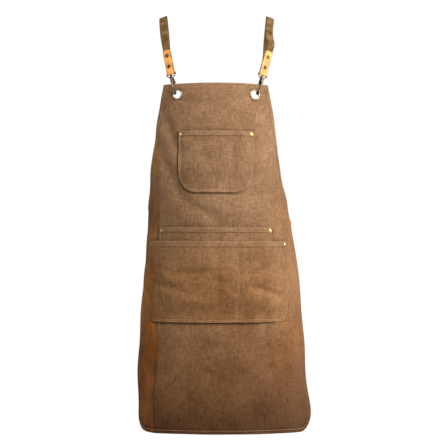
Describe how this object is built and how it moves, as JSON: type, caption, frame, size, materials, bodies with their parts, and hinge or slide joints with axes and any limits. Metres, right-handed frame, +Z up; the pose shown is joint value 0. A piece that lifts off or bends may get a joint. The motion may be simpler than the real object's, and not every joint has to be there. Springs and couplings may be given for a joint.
{
  "type": "butcher apron",
  "caption": "Cross-back bib apron in waxed canvas with a chest pocket, waist pockets, webbing straps on leather tabs, and swivel snap hooks through bib eyelets.",
  "frame": {"origin": "midway between the shoulders, level with the undersides of the straps there", "axes": "+Z up, the front of the apron faces -Y, +X to the right of someone who looks at its front"},
  "size_m": [0.4452, 0.3136, 1.0705],
  "materials": {
    "canvas": "waxed, matt",
    "pocket_canvas": "waxed, matt",
    "webbing": "woven, matt",
    "leather": "vegetable tanned, satin",
    "brass": "antique, satin",
    "bronze": "dark antique, satin",
    "spring_steel": "drawn wire"
  },
  "bodies": {
    "root": {"front_panel": "canvas", "chest_pocket": "pocket_canvas", "upper_waist_pocket": "pocket_canvas", "lower_waist_pocket": "pocket_canvas", "chest_rivet_caps": "brass", "chest_rivet_posts": "brass", "upper_rivet_caps": "brass", "upper_rivet_posts": "brass", "lower_rivet_caps": "brass", "lower_rivet_posts": "brass", "waist_rivet_caps": "brass", "waist_rivet_posts": "brass", "eyelet_left": "brass", "eyelet_right": "brass", "eyelet_washer_left": "brass", "eyelet_washer_right": "brass", "strap_left": "webbing", "strap_right": "webbing", "tab_left": "leather", "tab_right": "leather", "tab_rivet_caps_left": "bronze", "tab_rivet_caps_right": "bronze", "tab_rivet_posts_left": "bronze", "tab_rivet_posts_right": "bronze"},
    "eye_left": {"swivel_eye_left": "bronze"},
    "hook_left": {"hook_body_left": "bronze", "bolt_spring_left": "spring_steel"},
    "bolt_left": {"thumb_bolt_left": "bronze"},
    "eye_right": {"swivel_eye_right": "bronze"},
    "hook_right": {"hook_body_right": "bronze", "bolt_spring_right": "spring_steel"},
    "bolt_right": {"thumb_bolt_right": "bronze"}
  },
  "joints": [
    {"name": "eye_swing_left", "type": "hinge", "parent": "root", "child": "eye_left", "pos_m": [-0.11488, -0.08352, -0.15268], "axis": [0.8871, -0.3725, 0.2725], "range_deg": [-1, 1]},
    {"name": "hook_swivel_left", "type": "hinge", "parent": "eye_left", "child": "hook_left", "pos_m": [-0.11488, -0.08352, -0.15268], "axis": [-0.1878, 0.248, 0.9504], "range_deg": [-8, 8]},
    {"name": "thumb_bolt_slide_left", "type": "slide", "parent": "hook_left", "child": "bolt_left", "axis": [-0.1878, 0.248, 0.9504], "range_m": [0, 0.004], "stiffness_N_per_m": 300, "springref_m": -0.004, "deforming": ["bolt_spring_left"]},
    {"name": "eye_swing_right", "type": "hinge", "parent": "root", "child": "eye_right", "pos_m": [0.11817, -0.08216, -0.15382], "axis": [0.8718, 0.3543, -0.3382], "range_deg": [-1, 1]},
    {"name": "hook_swivel_right", "type": "hinge", "parent": "eye_right", "child": "hook_right", "pos_m": [0.11817, -0.08216, -0.15382], "axis": [0.2492, 0.2734, 0.9291], "range_deg": [-8, 8]},
    {"name": "thumb_bolt_slide_right", "type": "slide", "parent": "hook_right", "child": "bolt_right", "axis": [0.2492, 0.2734, 0.9291], "range_m": [0, 0.004], "stiffness_N_per_m": 300, "springref_m": -0.004, "deforming": ["bolt_spring_right"]}
  ]
}
